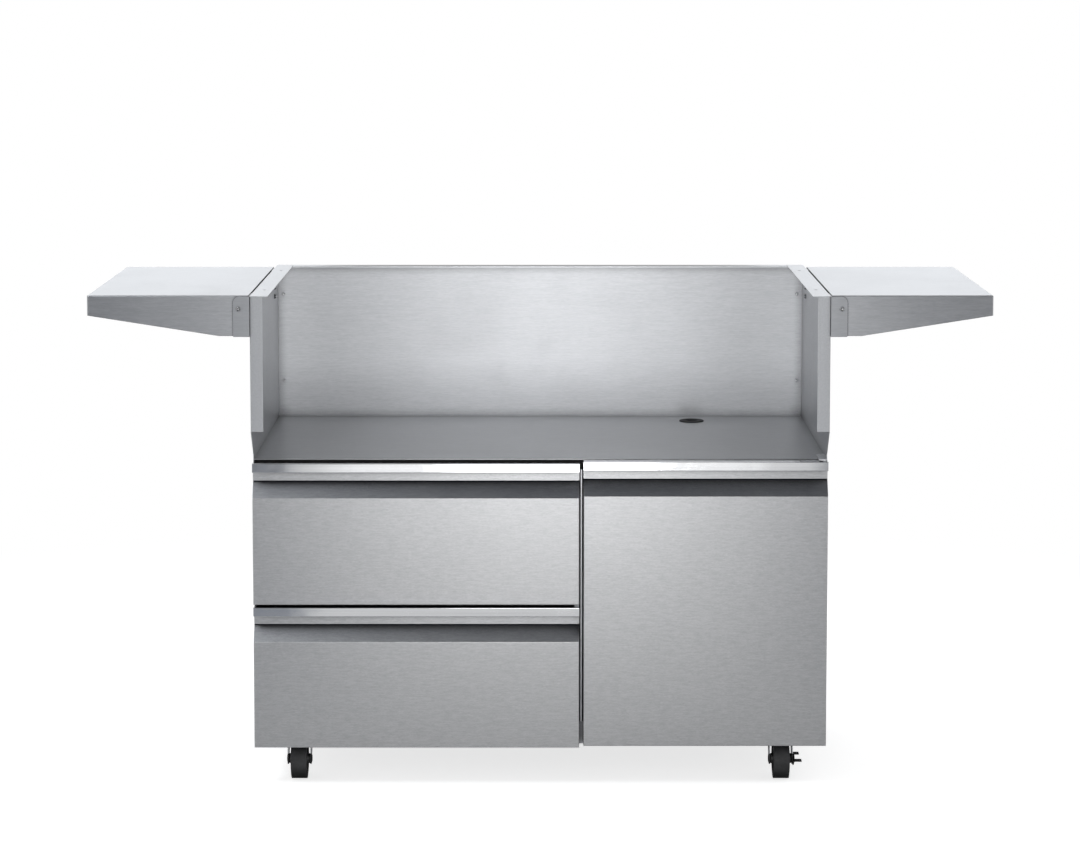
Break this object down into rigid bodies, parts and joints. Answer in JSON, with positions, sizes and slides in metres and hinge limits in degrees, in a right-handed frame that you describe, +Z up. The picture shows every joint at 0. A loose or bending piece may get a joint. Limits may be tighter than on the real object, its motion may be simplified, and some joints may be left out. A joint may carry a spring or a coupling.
{
  "type": "grill base",
  "caption": "Stainless steel grill base on casters with pull-out drawers, a side-hinged door, a well for a built-in grill and a fixed shelf at each end.",
  "frame": {"origin": "middle of the footprint, on the floor under the wheels", "axes": "+X to the right seen from the front, +Y from the fronts to the back panel, +Z up"},
  "size_m": [1.683, 0.6584, 0.9379],
  "materials": {
    "brushed_steel": "brushed stainless sheet, grain along the fronts",
    "polished_steel": "polished stainless pull strip",
    "zinc_plate": "zinc plated steel",
    "black_coat": "black coated steel",
    "fastener_steel": "plain stainless",
    "black_nylon": "moulded black nylon",
    "black_rubber": "moulded black rubber",
    "tyre_rubber": "smooth black tread"
  },
  "bodies": {
    "cabinet": {"left_side_panel": "brushed_steel", "right_side_panel": "brushed_steel", "back_panel": "brushed_steel", "rear_seat_rail": "brushed_steel", "bottom_panel": "brushed_steel", "well_deck": "brushed_steel", "front_top_rail": "brushed_steel", "centre_divider": "brushed_steel", "caster_rails": "zinc_plate", "drawer_fixed_runners": "zinc_plate", "door_hinge_brackets": "zinc_plate", "door_magnet": "black_nylon", "hose_grommets": "black_rubber", "tank_ring": "brushed_steel", "left_shelf": "brushed_steel", "right_shelf": "brushed_steel", "shelf_end_plates": "brushed_steel", "shelf_brackets": "brushed_steel", "shelf_screws": "fastener_steel", "shelf_bolts": "fastener_steel", "back_panel_screws": "fastener_steel", "caster_plates": "zinc_plate", "caster_bolts": "fastener_steel"},
    "upper_drawer": {"upper_drawer_front": "brushed_steel", "upper_drawer_pull": "polished_steel", "upper_drawer_liner": "brushed_steel", "upper_drawer_box": "brushed_steel", "upper_drawer_bumpers": "black_rubber", "upper_drawer_inner_runners": "zinc_plate"},
    "upper_drawer_runner": {"upper_drawer_middle_runners": "zinc_plate"},
    "lower_drawer": {"lower_drawer_front": "brushed_steel", "lower_drawer_pull": "polished_steel", "lower_drawer_liner": "brushed_steel", "lower_drawer_box": "brushed_steel", "lower_drawer_bumpers": "black_rubber", "lower_drawer_inner_runners": "zinc_plate"},
    "lower_drawer_runner": {"lower_drawer_middle_runners": "zinc_plate"},
    "door": {"door_front": "brushed_steel", "door_pull": "polished_steel", "door_liner": "brushed_steel", "door_pivot_blocks": "black_nylon", "door_strike_plate": "zinc_plate"},
    "front_left_caster": {"front_left_fork": "zinc_plate", "front_left_axle": "black_coat"},
    "front_left_roller": {"front_left_wheel": "black_nylon", "front_left_tyre": "tyre_rubber"},
    "front_right_caster": {"front_right_fork": "zinc_plate", "front_right_axle": "black_coat"},
    "front_right_roller": {"front_right_wheel": "black_nylon", "front_right_tyre": "tyre_rubber"},
    "front_right_brake": {"front_right_brake_lever": "black_coat"},
    "rear_left_caster": {"rear_left_fork": "zinc_plate", "rear_left_axle": "black_coat"},
    "rear_left_roller": {"rear_left_wheel": "black_nylon", "rear_left_tyre": "tyre_rubber"},
    "rear_right_caster": {"rear_right_fork": "zinc_plate", "rear_right_axle": "black_coat"},
    "rear_right_roller": {"rear_right_wheel": "black_nylon", "rear_right_tyre": "tyre_rubber"},
    "rear_right_brake": {"rear_right_brake_lever": "black_coat"}
  },
  "joints": [
    {"name": "upper_drawer_slide", "type": "slide", "parent": "cabinet", "child": "upper_drawer", "axis": [0, -1, 0], "range_m": [0, 0.45]},
    {"name": "upper_drawer_runner_slide", "type": "slide", "parent": "cabinet", "child": "upper_drawer_runner", "axis": [0, -1, 0], "range_m": [0, 0.225]},
    {"name": "lower_drawer_slide", "type": "slide", "parent": "cabinet", "child": "lower_drawer", "axis": [0, -1, 0], "range_m": [0, 0.45]},
    {"name": "lower_drawer_runner_slide", "type": "slide", "parent": "cabinet", "child": "lower_drawer_runner", "axis": [0, -1, 0], "range_m": [0, 0.225]},
    {"name": "door_hinge", "type": "hinge", "parent": "cabinet", "child": "door", "pos_m": [0.5335, -0.2878, 0.3508], "axis": [0, 0, 1], "range_deg": [0, 110]},
    {"name": "front_left_swivel", "type": "hinge", "parent": "cabinet", "child": "front_left_caster", "pos_m": [-0.46, -0.2002, 0.0905], "axis": [0, 0, 1], "continuous": true},
    {"name": "front_left_roll", "type": "hinge", "parent": "front_left_caster", "child": "front_left_roller", "pos_m": [-0.46, -0.2252, 0.038], "axis": [1, 0, 0], "continuous": true},
    {"name": "front_right_swivel", "type": "hinge", "parent": "cabinet", "child": "front_right_caster", "pos_m": [0.46, -0.2002, 0.0905], "axis": [0, 0, 1], "continuous": true},
    {"name": "front_right_roll", "type": "hinge", "parent": "front_right_caster", "child": "front_right_roller", "pos_m": [0.46, -0.2252, 0.038], "axis": [1, 0, 0], "continuous": true},
    {"name": "front_right_brake_press", "type": "hinge", "parent": "front_right_caster", "child": "front_right_brake", "pos_m": [0.46, -0.2252, 0.038], "axis": [1, 0, 0], "range_deg": [0, 15]},
    {"name": "rear_left_swivel", "type": "hinge", "parent": "cabinet", "child": "rear_left_caster", "pos_m": [-0.46, 0.2558, 0.0905], "axis": [0, 0, 1], "continuous": true},
    {"name": "rear_left_roll", "type": "hinge", "parent": "rear_left_caster", "child": "rear_left_roller", "pos_m": [-0.46, 0.2308, 0.038], "axis": [1, 0, 0], "continuous": true},
    {"name": "rear_right_swivel", "type": "hinge", "parent": "cabinet", "child": "rear_right_caster", "pos_m": [0.46, 0.2558, 0.0905], "axis": [0, 0, 1], "continuous": true},
    {"name": "rear_right_roll", "type": "hinge", "parent": "rear_right_caster", "child": "rear_right_roller", "pos_m": [0.46, 0.2308, 0.038], "axis": [1, 0, 0], "continuous": true},
    {"name": "rear_right_brake_press", "type": "hinge", "parent": "rear_right_caster", "child": "rear_right_brake", "pos_m": [0.46, 0.2308, 0.038], "axis": [1, 0, 0], "range_deg": [0, 15]}
  ],
  "couplings": [
    {"joint": "upper_drawer_runner_slide", "follows": "upper_drawer_slide", "ratio": 0.5},
    {"joint": "lower_drawer_runner_slide", "follows": "lower_drawer_slide", "ratio": 0.5}
  ]
}
